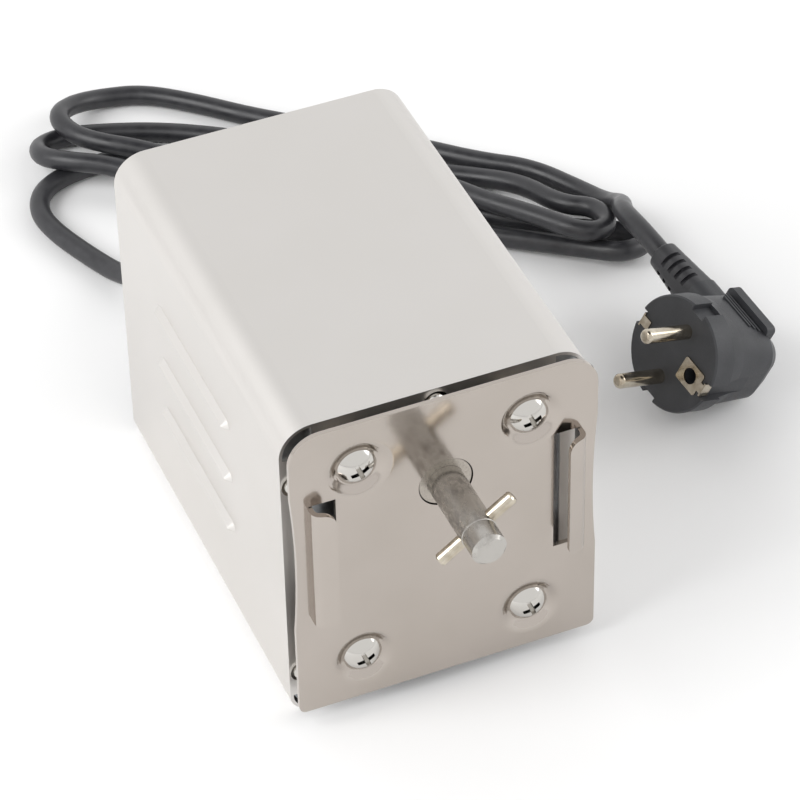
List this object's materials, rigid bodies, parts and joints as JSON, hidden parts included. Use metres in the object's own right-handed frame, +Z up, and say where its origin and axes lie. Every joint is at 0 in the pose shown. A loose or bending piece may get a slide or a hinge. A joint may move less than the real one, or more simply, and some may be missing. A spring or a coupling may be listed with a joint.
{
  "type": "rotisserie motor unit",
  "caption": "Mains rotisserie spit motor unit: folded steel case, slide-in mounting plate, cross-pinned output shaft, synchronous gear motor, and a folded cord with an earthed plug",
  "frame": {"origin": "middle of the base of the motor unit, on the surface it stands on, measured without the free cord", "axes": "+X to the unit's right seen from its shaft side, -Y the way the output shaft points, +Z up"},
  "size_m": [0.1949, 0.342, 0.111],
  "materials": {
    "stainless_sheet": "fine satin stainless steel sheet",
    "plate_steel": "bright rolled steel plate, slightly warm",
    "zinc_sheet": "zinc-plated steel sheet",
    "bright_screw": "bright nickel-plated steel",
    "turned_steel": "turned and machined steel",
    "plated_pin": "nickel-plated pin",
    "bush_metal": "pale sintered bronze",
    "die_cast": "die-cast alloy",
    "brass_gear": "cut brass",
    "copper_winding": "enamelled copper wire",
    "white_nylon": "natural nylon",
    "magnet": "dark ferrite",
    "black_rubber": "black rubber sheath",
    "black_plug": "satin black moulded plug",
    "brown_wire": "brown insulation",
    "blue_wire": "blue insulation",
    "earth_wire": "green and yellow insulation"
  },
  "bodies": {
    "root": {"base_plate": "zinc_sheet", "base_screws": "bright_screw", "cable_gland": "black_rubber", "case_cover": "stainless_sheet", "coil_bobbin": "white_nylon", "coil_winding": "copper_winding", "cord_jacket_end": "black_rubber", "cord_strain_relief": "black_rubber", "core_earth": "earth_wire", "core_live": "brown_wire", "core_neutral": "blue_wire", "earth_lead": "earth_wire", "earth_screw": "bright_screw", "earth_tag": "zinc_sheet", "first_axle": "turned_steel", "front_bush": "bush_metal", "front_wall": "zinc_sheet", "front_wall_screws": "bright_screw", "front_wall_washers": "bright_screw", "gearbox_cover": "die_cast", "gearbox_housing": "die_cast", "gearbox_screws": "bright_screw", "gland_nut": "black_rubber", "motor_bearing_front": "bush_metal", "motor_bearing_rear": "bush_metal", "motor_can": "zinc_sheet", "motor_lead_live": "brown_wire", "motor_lead_neutral": "blue_wire", "motor_plate": "zinc_sheet", "motor_screws": "bright_screw", "mounting_plate": "plate_steel", "mounting_plate_screws": "bright_screw", "plate_spacers": "bright_screw", "plug_body": "black_plug", "plug_earth_clips": "plated_pin", "plug_pins": "plated_pin", "plug_strain_relief": "black_rubber", "pole_plate_front": "zinc_sheet", "pole_plate_rear": "zinc_sheet", "power_cord": "black_rubber", "rear_bush": "bush_metal", "rear_wall": "zinc_sheet", "rear_wall_screws": "bright_screw", "second_axle": "turned_steel", "terminal_block": "white_nylon", "terminal_screws": "bright_screw"},
    "output": {"output_shaft": "turned_steel", "cross_pin": "plated_pin", "output_gear": "turned_steel", "output_key": "turned_steel", "shaft_circlip": "bright_screw"},
    "second": {"second_gear": "turned_steel"},
    "first": {"first_gear": "turned_steel"},
    "rotor": {"rotor_shaft": "turned_steel", "rotor_magnet": "magnet", "rotor_hub": "white_nylon", "motor_pinion": "brass_gear"}
  },
  "joints": [
    {"name": "output_shaft_turn", "type": "hinge", "parent": "root", "child": "output", "pos_m": [0, -0.0373, 0.08], "axis": [0, -1, 0], "continuous": true},
    {"name": "second_gear_turn", "type": "hinge", "parent": "root", "child": "second", "pos_m": [0, -0.0373, 0.0512], "axis": [0, -1, 0], "continuous": true},
    {"name": "first_gear_turn", "type": "hinge", "parent": "root", "child": "first", "pos_m": [0.01747, -0.0373, 0.0385], "axis": [0, -1, 0], "continuous": true},
    {"name": "rotor_turn", "type": "hinge", "parent": "root", "child": "rotor", "pos_m": [0.00056, -0.0373, 0.03235], "axis": [0, -1, 0], "continuous": true}
  ],
  "couplings": [
    {"joint": "second_gear_turn", "follows": "output_shaft_turn", "ratio": -5},
    {"joint": "first_gear_turn", "follows": "output_shaft_turn", "ratio": 25},
    {"joint": "rotor_turn", "follows": "output_shaft_turn", "ratio": -125}
  ]
}
